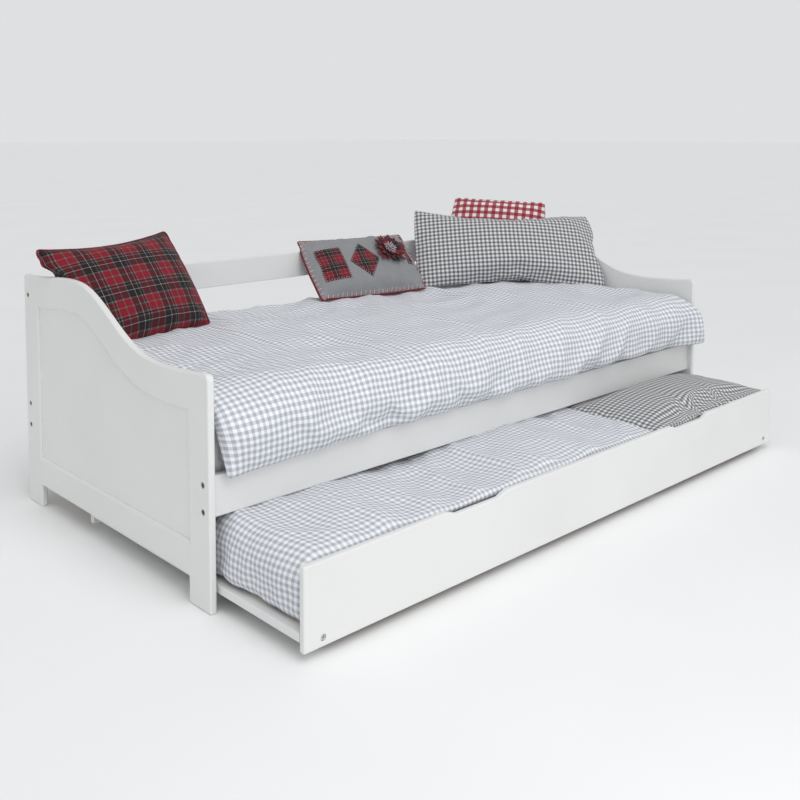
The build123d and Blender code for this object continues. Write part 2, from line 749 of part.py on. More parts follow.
os.makedirs("parts", exist_ok=True)
for end_name, end_side in END_SIDES.items():
    build_end(end_name, end_side)
build_rail("front_side_rail", FRONT_RAIL_Y, RAIL_Z, RAIL_BOLT_Z, 1, (), True)
build_rail("back_side_rail", BACK_RAIL_Y, RAIL_Z, RAIL_BOLT_Z, -1, (), True)
top_dowels = (TOP_BOLT_Z - DOWEL_OFFSET, TOP_BOLT_Z + DOWEL_OFFSET)
build_rail("back_top_rail", BACK_RAIL_Y, TOP_BACK_RAIL_Z, (TOP_BOLT_Z,), -1, top_dowels, False)
for ledge_name, (ledge_y, ledge_way) in ledge_ys().items():
    build_ledge(f"{ledge_name}_slat_ledge", ledge_y, ledge_way)
build_slats()
build_daybed_fasteners()
build_bedding()
build_trundle_boards()
build_trundle_frame()
build_castors()
build_trundle_fasteners()
build_trundle_bedding()
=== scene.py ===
"""Looks of the trundle bed: painted wood, fittings, and the simulated bedding around the CAD frame."""
import json
import math
from collections import namedtuple

import bpy
import numpy as np
from mathutils import Matrix, Vector
from mathutils.bvhtree import BVHTree


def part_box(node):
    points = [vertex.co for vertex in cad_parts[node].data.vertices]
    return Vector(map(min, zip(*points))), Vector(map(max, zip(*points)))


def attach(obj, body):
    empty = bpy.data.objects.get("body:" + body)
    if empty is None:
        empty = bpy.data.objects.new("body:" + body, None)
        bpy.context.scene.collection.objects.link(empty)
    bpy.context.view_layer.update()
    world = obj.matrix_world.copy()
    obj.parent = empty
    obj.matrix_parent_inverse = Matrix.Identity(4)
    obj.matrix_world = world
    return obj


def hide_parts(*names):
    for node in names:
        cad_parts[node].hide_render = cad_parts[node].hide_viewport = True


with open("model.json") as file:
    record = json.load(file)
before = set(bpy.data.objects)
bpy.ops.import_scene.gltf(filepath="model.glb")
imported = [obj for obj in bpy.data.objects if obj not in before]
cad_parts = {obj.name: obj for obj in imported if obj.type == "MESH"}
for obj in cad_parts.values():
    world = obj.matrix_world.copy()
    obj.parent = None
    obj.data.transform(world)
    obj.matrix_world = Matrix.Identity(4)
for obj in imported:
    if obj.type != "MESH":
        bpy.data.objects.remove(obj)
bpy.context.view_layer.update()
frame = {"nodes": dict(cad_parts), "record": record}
CLOTH_UV = "cloth"

# ---------- places taken from the frame


def low(node):
    """Lowest corner of a CAD node."""
    return np.array(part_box(node)[0])


def high(node):
    """Highest corner of a CAD node."""
    return np.array(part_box(node)[1])


POST_FRONT = low("left_front_post")[1]
BED_BACK = low("back_side_rail")[1]
INNER_LEFT = high("left_front_post")[0]
INNER_RIGHT = low("right_front_post")[0]
MATTRESS_TOP = high("mattress")[2]
MATTRESS_FRONT = low("mattress")[1]
TRUNDLE_TOP = high("trundle_mattress")[2]
TRUNDLE_LEFT = low("trundle_mattress")[0]
PANEL_BACK = high("trundle_front_panel")[1]
BOARD_FRONT = low("trundle_rear_board")[1]
BATTEN_TOP = high("trundle_left_batten")[2]
LEDGE_BACK = high("front_slat_ledge")[1]
JOINTS = {joint["name"]: joint for joint in frame["record"]["behaviour"]["joints"]}
TRUNDLE_CLOSES = -JOINTS["trundle_slide"]["range_m"][0]

# ---------- shader building blocks


class Shader:
    """A material and short ways to add nodes to it."""

    def __init__(self, name, roughness, **sockets):
        self.material = bpy.data.materials.new(name)
        self.material.use_nodes = True
        self.tree = self.material.node_tree
        self.surface = self.tree.nodes["Principled BSDF"]
        self.surface.inputs["Roughness"].default_value = roughness
        for socket, value in sockets.items():
            self.surface.inputs[socket.replace("_", " ")].default_value = value

    def node(self, kind, inputs=None, **settings):
        made = self.tree.nodes.new("ShaderNode" + kind)
        for key, value in settings.items():
            setattr(made, key, value)
        for key, value in (inputs or {}).items():
            if isinstance(value, bpy.types.NodeSocket):
                self.tree.links.new(value, made.inputs[key])
            else:
                made.inputs[key].default_value = value
        return made

    def math(self, operation, a, b=0.0, c=0.0):
        return self.node("Math", {0: a, 1: b, 2: c}, operation=operation).outputs[0]

    def set(self, socket, output):
        self.tree.links.new(output, self.surface.inputs[socket])

    def ramp(self, value, stops, interpolation="LINEAR"):
        made = self.node("ValToRGB", {"Fac": value})
        made.color_ramp.interpolation = interpolation
        elements = made.color_ramp.elements
        while len(elements) < len(stops):
            elements.new(0.5)
        for element, (position, colour) in zip(elements, stops):
            element.position = position
            element.color = (*colour, 1)
        return made.outputs["Color"]

    def noise(self, vector, scale, detail=3.0, roughness=0.55):
        inputs = {"Vector": vector, "Scale": scale, "Detail": detail, "Roughness": roughness}
        return self.node("TexNoise", inputs).outputs["Fac"]

    def object_space(self):
        return self.node("TexCoord").outputs["Object"]

    def cloth_space(self):
        """Flat cloth coordinates, in metres, as two outputs and one vector."""
        vector = self.node("UVMap", uv_map=CLOTH_UV).outputs["UV"]
        split = self.node("SeparateXYZ", {"Vector": vector})
        return split.outputs["X"], split.outputs["Y"], vector

    def mix(self, factor, a, b, blend="MIX"):
        a, b = (colour if isinstance(colour, bpy.types.NodeSocket) else (*colour, 1) for colour in (a, b))
        inputs = {0: factor, 6: a, 7: b}
        return self.node("Mix", inputs, data_type="RGBA", blend_type=blend).outputs[2]

    def bump(self, height, distance, strength=1.0, under=None):
        inputs = {"Height": height, "Distance": distance, "Strength": strength}
        if under is not None:
            inputs["Normal"] = under
        return self.node("Bump", inputs).outputs["Normal"]

    def spread(self, value, low_out, high_out, low_in=0.35, high_in=0.65):
        """Stretch a noise value over a wanted range."""
        inputs = {0: value, 1: low_in, 2: high_in, 3: low_out, 4: high_out}
        return self.node("MapRange", inputs).outputs[0]

    def stripes(self, coordinate, pitch, soft=0.0004):
        """Square stripes of a pitch, 1 on the coloured half and 0 on the plain half."""
        wave = self.math("PINGPONG", coordinate, pitch / 2)
        inputs = {0: wave, 1: pitch / 4 - soft, 2: pitch / 4 + soft, 3: 0.0, 4: 1.0}
        return self.node("MapRange", inputs).outputs[0]

    def weave(self, u, v, pitch, vector, depth, crease):
        """Thread relief, with soft creases of pressed cotton under it."""
        turns = 2 * math.pi / pitch
        warp = self.math("SINE", self.math("MULTIPLY", u, turns))
        weft = self.math("SINE", self.math("MULTIPLY", v, turns))
        threads = self.math("MULTIPLY", warp, weft)
        creases = self.bump(self.noise(vector, 14, 4, 0.6), crease)
        self.set("Normal", self.bump(threads, depth, 0.5, creases))


def painted_white():
    """Satin white lacquer over fine-grained wood, a little worn on its edges."""
    paint = Shader("white_satin_paint", 0.4, IOR=1.5, Coat_Weight=0.12, Coat_Roughness=0.3)
    space = paint.object_space()
    stretched = paint.node("Mapping", {"Vector": space, "Scale": (1.0, 1.0, 6.0)}).outputs["Vector"]
    cloudy = paint.noise(space, 3.0, 4)
    tone = paint.ramp(cloudy, [(0.3, (0.765, 0.765, 0.757)), (0.7, (0.80, 0.80, 0.795))])
    rounded = paint.node("Bevel", {"Radius": 0.003}, samples=4).outputs["Normal"]
    flat = paint.node("NewGeometry").outputs["Normal"]
    facing = paint.node("VectorMath", {0: rounded, 1: flat}, operation="DOT_PRODUCT").outputs["Value"]
    worn = paint.spread(facing, 0.5, 0.0, 0.80, 0.99)
    patchy = paint.spread(paint.noise(space, 38.0, 4), 0.1, 1.0, 0.42, 0.60)
    worn = paint.math("MULTIPLY", worn, patchy)
    paint.set("Base Color", paint.mix(worn, tone, (0.62, 0.59, 0.54)))
    orange_peel = paint.noise(space, 260.0, 2)
    brushed = paint.noise(stretched, 45.0, 3)
    paint.set("Roughness", paint.spread(brushed, 0.34, 0.48))
    under = paint.bump(brushed, 0.00012, 0.6)
    paint.set("Normal", paint.bump(orange_peel, 0.00008, 0.5, under))
    return paint.material


def bare_pine():
    """Unpainted pine with grain along the board and a few darker lines."""
    pine = Shader("bare_pine", 0.6)
    space = pine.object_space()
    drawn = pine.node("Mapping", {"Vector": space, "Scale": (9.0, 1.0, 22.0)}).outputs["Vector"]
    rings = pine.node("TexWave", {"Vector": drawn, "Scale": 1.6, "Distortion": 5.0, "Detail": 3.0},
                      bands_direction="X").outputs["Fac"]
    fibre = pine.noise(drawn, 30.0, 4)
    shades = [(0.0, (0.62, 0.43, 0.24)), (0.6, (0.72, 0.54, 0.33)), (1.0, (0.77, 0.60, 0.39))]
    tone = pine.ramp(rings, shades)
    pine.set("Base Color", pine.mix(pine.spread(fibre, 0.0, 0.4), tone, (0.55, 0.37, 0.2)))
    pine.set("Roughness", pine.spread(fibre, 0.5, 0.72))
    pine.set("Normal", pine.bump(fibre, 0.0003, 0.6))
    return pine.material


def metal(name, light, dark, roughness):
    """Machined metal with fine scratches and a patchy tarnish."""
    steel = Shader(name, roughness, Metallic=1.0)
    space = steel.object_space()
    patches = steel.noise(space, 160.0, 4)
    steel.set("Base Color", steel.ramp(patches, [(0.35, dark), (0.65, light)]))
    steel.set("Roughness", steel.spread(patches, roughness - 0.08, roughness + 0.14))
    steel.set("Normal", steel.bump(steel.noise(space, 900.0, 2), 0.00006, 0.6))
    return steel.material


def wheel_plastic():
    """Dark moulded nylon with dust picked up on the tread."""
    nylon = Shader("castor_nylon", 0.45)
    space = nylon.object_space()
    dust = nylon.noise(space, 110.0, 5)
    nylon.set("Base Color", nylon.ramp(dust, [(0.45, (0.03, 0.03, 0.032)), (0.75, (0.12, 0.115, 0.11))]))
    nylon.set("Roughness", nylon.spread(dust, 0.38, 0.7))
    nylon.set("Normal", nylon.bump(nylon.noise(space, 700.0, 2), 0.0001, 0.5))
    return nylon.material


def ticking():
    """Off-white mattress cover with narrow grey stripes."""
    cover = Shader("mattress_ticking", 0.85, Sheen_Weight=0.2)
    u, v, vector = cover.cloth_space()
    stripe = cover.stripes(u, 0.06, 0.0004)
    line = cover.math("MULTIPLY", stripe, cover.stripes(u, 0.012))
    cover.set("Base Color", cover.mix(line, (0.78, 0.78, 0.75), (0.56, 0.58, 0.62)))
    cover.weave(u, v, 0.0022, vector, 0.0002, 0.001)
    return cover.material


def gingham(name, pitch, light, middle, dark, crease=0.0016):
    """Yarn-dyed check: where two coloured stripes cross the square is darkest."""
    cotton = Shader(name, 0.82, Sheen_Weight=0.08, Sheen_Roughness=0.6)
    u, v, vector = cotton.cloth_space()
    both = cotton.math("ADD", cotton.stripes(u, pitch), cotton.stripes(v, pitch))
    tone = cotton.ramp(cotton.math("MULTIPLY", both, 0.5), [(0.0, light), (0.5, middle), (1.0, dark)])
    slub = cotton.spread(cotton.noise(vector, 220.0, 2), 0.0, 0.16)
    cotton.set("Base Color", cotton.mix(slub, tone, (0.92, 0.92, 0.93), "SOFT_LIGHT"))
    cotton.set("Roughness", cotton.spread(cotton.noise(vector, 90.0), 0.74, 0.9))
    cotton.weave(u, v, 0.0014, vector, 0.00018, crease)
    return cotton.material


TARTAN_PITCH = 0.102
TARTAN_RED = (0.21, 0.002, 0.013)
TARTAN_MAROON = (0.030, 0.002, 0.004)
TARTAN_BLACK = (0.003, 0.004, 0.005)
TARTAN_GREY = (0.15, 0.16, 0.155)
TARTAN_WHITE = (0.55, 0.55, 0.53)
TARTAN_SETT = [
    (0.0, TARTAN_RED), (0.200, TARTAN_GREY), (0.240, TARTAN_RED), (0.44, TARTAN_GREY),
    (0.485, TARTAN_BLACK), (0.54, TARTAN_MAROON), (0.61, TARTAN_BLACK), (0.69, TARTAN_WHITE),
    (0.708, TARTAN_BLACK), (0.77, TARTAN_MAROON), (0.85, TARTAN_GREY), (0.885, TARTAN_BLACK),
    (0.945, TARTAN_GREY), (0.985, TARTAN_RED),
]


def tartan():
    """Brushed woollen tartan: the same sett in warp and weft, crossed in a twill."""
    wool = Shader("tartan_wool", 0.92, Sheen_Weight=0.05, Sheen_Roughness=0.5)
    u, v, vector = wool.cloth_space()
    tones = []
    for thread in (u, v):
        turn = wool.math("FRACT", wool.math("DIVIDE", wool.math("ADD", thread, 10.0), TARTAN_PITCH))
        tones.append(wool.ramp(turn, TARTAN_SETT, "CONSTANT"))
    diagonal = wool.stripes(wool.math("ADD", u, v), 0.0024)
    twill = wool.spread(diagonal, 0.38, 0.62, 0.0, 1.0)
    fuzz = wool.noise(vector, 420.0, 3)
    crossed = wool.mix(twill, tones[0], tones[1])
    crossed = wool.mix(0.45, crossed, wool.mix(1.0, tones[0], tones[1], "DARKEN"))
    wool.set("Base Color", wool.mix(wool.spread(fuzz, 0.0, 0.5), crossed, (0.5, 0.5, 0.5), "SOFT_LIGHT"))
    under = wool.bump(wool.noise(vector, 16.0, 4), 0.002)
    wool.set("Normal", wool.bump(fuzz, 0.0006, 0.7, under))
    return wool.material


def felted(name, light, dark):
    """Felted wool, mottled by its fibres."""
    felt = Shader(name, 0.95, Sheen_Weight=0.15, Sheen_Roughness=0.5)
    vector = felt.cloth_space()[2]
    fibres = felt.noise(vector, 380.0, 5, 0.7)
    clouds = felt.noise(vector, 22.0, 3)
    tone = felt.ramp(fibres, [(0.3, dark), (0.7, light)])
    felt.set("Base Color", felt.mix(felt.spread(clouds, 0.0, 0.3), tone, dark))
    under = felt.bump(clouds, 0.002)
    felt.set("Normal", felt.bump(fibres, 0.0008, 0.7, under))
    return felt.material


def yarn(name, colour):
    """Twisted yarn for stitches."""
    thread = Shader(name, 0.85, Sheen_Weight=0.3)
    space = thread.object_space()
    twist = thread.noise(space, 500.0, 2)
    darker = tuple(channel * 0.55 for channel in colour)
    thread.set("Base Color", thread.ramp(twist, [(0.35, darker), (0.65, colour)]))
    thread.set("Normal", thread.bump(twist, 0.0004, 0.8))
    return thread.material


SLOT_MATERIALS = {
    "white_paint": painted_white(),
    "bare_pine": bare_pine(),
    "zinc_steel": metal("zinc_steel", (0.66, 0.66, 0.64), (0.42, 0.42, 0.41), 0.36),
    "bronze_bolt": metal("bronzed_bolt", (0.30, 0.215, 0.12), (0.12, 0.085, 0.05), 0.38),
    "castor_tyre": wheel_plastic(),
    "mattress_ticking": ticking(),
    "duvet_gingham": gingham("duvet_gingham", 0.016, (0.86, 0.875, 0.91), (0.62, 0.635, 0.68),
                             (0.40, 0.415, 0.455)),
    "pillow_gingham": gingham("pillow_gingham", 0.016, (0.74, 0.74, 0.75), (0.32, 0.32, 0.33),
                              (0.10, 0.10, 0.105)),
    "tartan_wool": tartan(),
    "grey_wool": felted("grey_felted_wool", (0.33, 0.335, 0.345), (0.19, 0.195, 0.205)),
    "red_gingham": gingham("red_gingham", 0.032, (0.80, 0.77, 0.76), (0.40, 0.10, 0.12),
                           (0.25, 0.010, 0.025)),
}
RED_FELT = felted("red_felt", (0.26, 0.008, 0.022), (0.10, 0.004, 0.010))
BLACK_FELT = felted("black_felt", (0.035, 0.035, 0.038), (0.010, 0.010, 0.012))
SILVER_YARN = yarn("silver_yarn", (0.74, 0.74, 0.75))
PINK_YARN = yarn("pink_yarn", (0.66, 0.30, 0.33))


def dress_frame():
    """Give every CAD node the detailed material of its slot."""
    for entry in frame["record"]["subparts"]:
        for holder in frame["nodes"][entry["node"]].material_slots:
            holder.material = SLOT_MATERIALS[entry["material_slot"]]


# ---------- mesh helpers


def new_object(name, points, faces, flat=None, material=None):
    """A smooth-shaded mesh; flat holds each point's place on the cut cloth, in metres."""
    mesh = bpy.data.meshes.new(name)
    mesh.from_pydata(np.asarray(points).tolist(), [], [list(face) for face in faces])
    if flat is not None:
        corners = np.empty(len(mesh.loops), dtype=np.int64)
        mesh.loops.foreach_get("vertex_index", corners)
        layer = mesh.uv_layers.new(name=CLOTH_UV)
        layer.data.foreach_set("uv", np.asarray(flat)[corners].astype(np.float32).ravel())
    mesh.polygons.foreach_set("use_smooth", np.ones(len(mesh.polygons), dtype=bool))
    mesh.update()
    made = bpy.data.objects.new(name, mesh)
    bpy.context.scene.collection.objects.link(made)
    if material is not None:
        mesh.materials.append(material)
    return made


def quads(index):
    """Quad faces of a grid of point numbers, facing up where columns run along X and rows along Y."""
    corners = (index[:-1, :-1], index[:-1, 1:], index[1:, 1:], index[1:, :-1])
    return np.stack([part.ravel() for part in corners], axis=-1)


def numbered(rows, columns, first=0):
    """Point numbers of a grid, row by row."""
    return first + np.arange(rows * columns).reshape(rows, columns)


def counts(size, step):
    """How many columns and rows of points a cloth of a size gets."""
    return int(size[0] / step) + 1, int(size[1] / step) + 1


def border(index):
    """The point numbers round the rim of a grid, in order."""
    return np.concatenate([index[0, :-1], index[:-1, -1], index[-1, :0:-1], index[:0:-1, 0]])


def faces_of(mesh):
    """The point numbers of every face of a mesh."""
    return [list(face.vertices) for face in mesh.polygons]


def ray_tree(mesh):
    """A tree to cast rays at a mesh."""
    return BVHTree.FromPolygons([vertex.co.copy() for vertex in mesh.vertices], faces_of(mesh))


def cloth_places(mesh):
    """Each point's place on the cut cloth."""
    layer = mesh.uv_layers[CLOTH_UV].data
    flat = np.zeros((len(mesh.vertices), 2))
    for loop in mesh.loops:
        flat[loop.vertex_index] = layer[loop.index].uv
    return flat


PIPING_R = 0.004
PIPING_SIDES = 7


def piping(ring, first):
    """A closed cord along a ring of points: its points, faces and places on the cloth."""
    count = len(ring)
    ahead = np.roll(ring, -1, axis=0) - np.roll(ring, 1, axis=0)
    ahead /= np.linalg.norm(ahead, axis=1)[:, None]
    outward = np.stack([ahead[:, 1], -ahead[:, 0], 0 * ahead[:, 2]], axis=-1)
    up = np.array([0, 0, 1.0])
    turns = 2 * math.pi * np.arange(PIPING_SIDES) / PIPING_SIDES
    points = np.vstack([ring + PIPING_R * (outward * math.cos(turn) + up * math.sin(turn)) for turn in turns])
    index = np.pad(numbered(PIPING_SIDES, count, first), ((0, 1), (0, 1)), mode="wrap")
    places = np.stack([points[:, 0] + points[:, 1], 0.2 * points[:, 2]], axis=-1)
    return points, quads(index), places


def remake(bag, mesh, points, faces, flat, materials, kinds):
    """Put a piece of several materials in a bag's place, and clear away the mesh it was made from."""
    name = bag.name
    bpy.data.objects.remove(bag)
    bpy.data.meshes.remove(mesh)
    made = new_object(name, points, faces, flat)
    for material in materials:
        made.data.materials.append(material)
    made.data.polygons.foreach_set("material_index", np.array(kinds, dtype=np.int32))
    return made


def with_piping(bag, rim, material):
    """The bag with a cord sewn into its seam."""
    mesh, points = bag.data, points_of(bag)
    cord, skins, places = piping(points[rim], len(points))
    faces = faces_of(mesh)
    flat = np.vstack([cloth_places(mesh), places])
    kinds = [0] * len(faces) + [1] * len(skins)
    both = [mesh.materials[0], material]
    return remake(bag, mesh, np.vstack([points, cord]), faces + skins.tolist(), flat, both, kinds)


def join_layers(name, outer, inner, flat, material, way=1):
    """One closed piece of two grids that share their rim; a way of -1 turns its faces over."""
    rows, columns = outer.shape[:2]
    points = np.vstack([outer.reshape(-1, 3), inner[1:-1, 1:-1].reshape(-1, 3)])
    places = np.vstack([flat.reshape(-1, 2), flat[1:-1, 1:-1].reshape(-1, 2)])
    upper = numbered(rows, columns)
    under = upper.copy()
    under[1:-1, 1:-1] = numbered(rows - 2, columns - 2, rows * columns)
    faces = np.vstack([quads(upper), quads(under)[:, ::-1]])
    return new_object(name, points, faces[:, ::way], places, material)


def points_of(thing):
    """The points of an object's mesh as an array."""
    out = np.empty(len(thing.data.vertices) * 3)
    thing.data.vertices.foreach_get("co", out)
    return out.reshape(-1, 3)


def move_points(thing, points):
    """Write an array of points back to an object's mesh."""
    thing.data.vertices.foreach_set("co", np.asarray(points).ravel())
    thing.data.update()


def soften(thing, levels=1):
    """Round a finished piece with a subdivision surface."""
    smooth = thing.modifiers.new("round", "SUBSURF")
    smooth.levels = levels
    smooth.render_levels = levels


def ripples(x, y, seed, longest, shortest, count):
    """Smooth seeded unevenness between about -1 and 1, made of crossing waves."""
    random = np.random.default_rng(seed)
    total = np.zeros_like(x)
    for _ in range(count):
        length = random.uniform(shortest, longest)
        angle = random.uniform(0, math.pi)
        phase = random.uniform(0, 2 * math.pi)
        along = (x * math.cos(angle) + y * math.sin(angle)) / length
        total += np.sin(2 * math.pi * along + phase)
    return total / math.sqrt(count)


def ease(value, start, end):
    """Smooth step from 0 at start to 1 at end."""
    part = np.clip((value - start) / (end - start), 0, 1)
    return part * part * (3 - 2 * part)


def rounded_edge(distance, width):
    """Height share of a rounded edge: 0 on the seam and 1 from width inwards."""
    part = np.clip(distance / width, 0, 1)
    return np.sqrt(1 - (1 - part) ** 2)


# ---------- cloth simulation


def add_cloth(thing, pressure, stretch, bending, gravity, shrink, pins=None):
    """Cloth settings for one piece; shrink below 0 cuts the cloth larger than its shape."""
    cloth = thing.modifiers.new("cloth", "CLOTH")
    settings = cloth.settings
    settings.quality, settings.mass, settings.air_damping = 6, 0.25, 2.0
    settings.tension_stiffness = settings.compression_stiffness = stretch
    settings.shear_stiffness = stretch * 0.4
    settings.bending_stiffness = bending
    settings.shrink_min = shrink
    settings.effector_weights.gravity = gravity
    if pressure:
        settings.use_pressure = True
        settings.uniform_pressure_force = pressure
    if pins is not None:
        group = thing.vertex_groups.new(name="pins")
        group.add([int(number) for number in pins], 1.0, "REPLACE")
        settings.vertex_group_mass = "pins"
    cloth.collision_settings.use_collision = pins is not None
    cloth.collision_settings.distance_min = 0.002
    cloth.collision_settings.collision_quality = 2


def run_cloth(things, frames):
    """Step every waiting cloth together and keep its last shape as the mesh."""
    scene = bpy.context.scene
    scene.frame_end = frames
    for step in range(1, frames + 1):
        scene.frame_set(step)
    graph = bpy.context.evaluated_depsgraph_get()
    for thing in things:
        settled = bpy.data.meshes.new_from_object(thing.evaluated_get(graph))
        out = np.empty(len(settled.vertices) * 3)
        settled.vertices.foreach_get("co", out)
        thing.modifiers.clear()
        move_points(thing, out.reshape(-1, 3))
        bpy.data.meshes.remove(settled)
    scene.frame_set(1)


# ---------- filled cushions

CUSHION_STEP = 0.011


def grid_of(cushion):
    """Point numbers of the front layer of a cushion's bag, rows by columns."""
    columns, rows = counts(cushion.size, CUSHION_STEP)
    return numbered(rows, columns)


def flat_bag(name, cushion):
    """Two layers of cloth sewn at the rim, nearly flat, ready to be filled.

    The sides of the cut bow outwards, because filling draws their middles in.
    """
    width, height, _ = cushion.size
    columns, rows = counts(cushion.size, CUSHION_STEP)
    across, up = np.meshgrid(np.linspace(-1, 1, columns), np.linspace(-1, 1, rows))
    reach = np.minimum((1 - abs(across)) * width, (1 - abs(up)) * height) / 2
    puff = 0.004 * rounded_edge(reach, 0.03)
    side = across * (width / 2 + cushion.bow * (1 - up ** 2) * abs(across) ** 3)
    rise = up * (height / 2 + cushion.bow * (1 - across ** 2) * abs(up) ** 3)
    front = np.stack([side, rise, puff], axis=-1)
    return join_layers(name, front, front * (1, 1, -1), front[..., :2], SLOT_MATERIALS[cushion.slot])


def fit_bag(bag, width, height, thickness):
    """Scale a filled bag to its finished size."""
    points = points_of(bag)
    size = points.max(axis=0) - points.min(axis=0)
    middle = (points.max(axis=0) + points.min(axis=0)) / 2
    move_points(bag, (points - middle) * (np.array([width, height, thickness]) / size))


GATHER_RISE = 0.012
GATHER_REACH = 0.075


def pucker(bag, size, depth, seed):
    """Small gathers of the cloth, square to the seams and fading inwards."""
    points = points_of(bag)
    gathers = 0
    for along, square in ((0, 1), (1, 0)):
        inside = size[square] / 2 - abs(points[:, square])
        near = (1 - ease(inside, GATHER_RISE, GATHER_REACH)) * ease(inside, 0, GATHER_RISE)
        waves = ripples(points[:, along], 0 * points[:, along], seed + along, 0.075, 0.026, 9)
        gathers = gathers + waves * near
    points[:, 2] += depth * np.sign(points[:, 2]) * gathers
    move_points(bag, points)


def sag_seams(bag, size, depth):
    """Let the upper seam sag between its corners, and draw the lower one in slightly."""
    points = points_of(bag)
    across, up = points[:, 0] * 2 / size[0], points[:, 1] * 2 / size[1]
    sag = depth * np.clip(1 - across ** 2, 0, None) * up ** 2
    points[:, 1] -= sag * np.where(up > 0, 1.0, -0.2)
    move_points(bag, points)


def lean(centre, turn, recline, roll):
    """Placement of a cushion turned about Z, leaning back and rolled in its own plane, in degrees."""
    upright = Matrix.Rotation(math.radians(90 - recline), 4, "X")
    about = Matrix.Rotation(math.radians(turn), 4, "Z")
    in_plane = Matrix.Rotation(math.radians(roll), 4, "Z")
    return Matrix.Translation(centre) @ about @ upright @ in_plane


def seat(bag, placement):
    """Bake a placement into a piece's mesh."""
    bag.data.transform(placement)
    bag.data.update()


# How one cushion is cut, filled and laid; sizes in metres, angles in degrees as lean() takes them
CUSHION_FIELDS = "node slot size centre angles bow pressure fill sag gathers"
PLAIN_GATHERS = 0.0022
Cushion = namedtuple("Cushion", CUSHION_FIELDS, defaults=[PLAIN_GATHERS])
CUSHIONS = {
    "tartan_cushion_cover": Cushion(
        "tartan_cushion", "tartan_wool", size=(0.475, 0.345, 0.130), centre=(-0.806, 0.444, 0.622),
        angles=(10.0, 35.0, 2.0), bow=0.012, pressure=2.1, fill=0.75, sag=0.030),
    "wool_cushion_cover": Cushion(
        "wool_cushion", "grey_wool", size=(0.470, 0.270, 0.10), centre=(0.168, 0.516, 0.589),
        angles=(-7.0, 43.0, -0.5), bow=0.010, pressure=1.7, fill=0.6, sag=0.010, gathers=0.0045),
    "bed_pillow": Cushion(
        "gingham_pillow", "pillow_gingham", size=(0.740, 0.340, 0.15), centre=(0.742, 0.308, 0.622),
        angles=(-36.0, 33.0, -1.5), bow=0.008, pressure=1.8, fill=0.6, sag=0.020),
    "red_cushion_cover": Cushion(
        "red_gingham_cushion", "red_gingham", size=(0.395, 0.330, 0.105), centre=(0.822, 0.441, 0.6635),
        angles=(-54.0, 28.0, -3.0), bow=0.014, pressure=2.1, fill=0.7, sag=0.012),
    "trundle_bed_pillow": Cushion(
        "trundle_pillow", "pillow_gingham", size=(0.700, 0.540, 0.100), centre=(0.650, -0.390, 0.0),
        angles=(0.0, 90.0, 0.0), bow=0.030, pressure=2.4, fill=0.5, sag=0.0),
}
PILLOW = "bed_pillow"
LOW_PILLOW = "trundle_bed_pillow"
WOOL = "wool_cushion_cover"
TARTAN = "tartan_cushion_cover"
RAIL_UNDERSIDE = low("front_side_rail")[2]
RAIL_FRONT = low("front_side_rail")[1]


# The crease across the pillow case, from its middle, and how far the corner beyond it goes back and up
CREASE_POINT = (0.215, 0.16)
CREASE_WAY = (0.13, -0.25)
CORNER_BACK = 0.42
CORNER_UP = 0.10


def fold_corner_back(bag):
    """Bend the upper corner at the open end of a pillow case back along a slanting crease."""
    points = points_of(bag)
    crease = Vector(CREASE_WAY).normalized()
    past = (CREASE_POINT[0] - points[:, 0]) * crease.y + (points[:, 1] - CREASE_POINT[1]) * crease.x
    beyond = np.clip(past, 0, None)
    points[:, 2] -= CORNER_BACK * beyond * ease(beyond, 0, 0.03)
    points[:, 1] += CORNER_UP * beyond
    move_points(bag, points)


RAIL_CLEARANCE = 0.004
# How much higher than that the lower pillow may stand where it is clear of the rail and its ledge
RISE_IN_FRONT = 0.048


def press_under_rail(pillow):
    """Rest the lower pillow on its mattress, below the rail now and when the trundle is closed."""
    points = points_of(pillow)
    points[:, 2] *= np.where(points[:, 2] > 0, 1.3, 0.3)
    points[:, 2] += TRUNDLE_TOP + 0.0015 - points[:, 2].min()
    edge = PANEL_BACK + 0.002
    index = grid_of(CUSHIONS[LOW_PILLOW])
    rows, columns = index.shape
    upper = points[:rows * columns].reshape(rows, columns, 3)
    under = points[rows * columns:].reshape(rows - 2, columns - 2, 3)
    gap = np.maximum(upper[0, :, 1] - edge, 0)
    short = INNER_RIGHT - 0.010 - upper[:, -1, 0]
    for layer, front_gap, side_gap in ((upper, gap, short), (under, gap[1:-1], short[1:-1])):
        layer[..., 1] -= front_gap * (1 - ease(layer[..., 1] - edge, 0.0, 0.2))
        layer[..., 0] += side_gap[:, None] * ease(layer[..., 0], 0.75, 1.0)
    points[:, 1] = np.maximum(points[:, 1], edge)
    in_front = ease(RAIL_FRONT - 0.008 - points[:, 1], 0.0, 0.06)
    closed_behind = ease(points[:, 1] + TRUNDLE_CLOSES - LEDGE_BACK, 0.004, 0.05)
    ceiling = RAIL_UNDERSIDE - RAIL_CLEARANCE + RISE_IN_FRONT * in_front * closed_behind
    base = TRUNDLE_TOP + 0.015
    share = 1.3 * np.clip((points[:, 2] - base) / (ceiling - base), 0, None)
    points[:, 2] = np.where(points[:, 2] > base, base + (ceiling - base) * np.tanh(share), points[:, 2])
    move_points(pillow, points)


def crest_heights(node, places):
    """Height of the top of an end, for an array of places along Y."""
    tree = ray_tree(frame["nodes"][node].data)
    middle = (low(node)[0] + high(node)[0]) / 2
    samples = np.linspace(low(node)[1] + 0.002, high(node)[1] - 0.002, 90)
    hits = [tree.ray_cast(Vector((middle, y, 2.0)), Vector((0, 0, -1)))[0] for y in samples]
    tops = [hit.z if hit is not None else high(node)[2] for hit in hits]
    return np.interp(places, samples, tops)


SOFT_STOP = 0.012
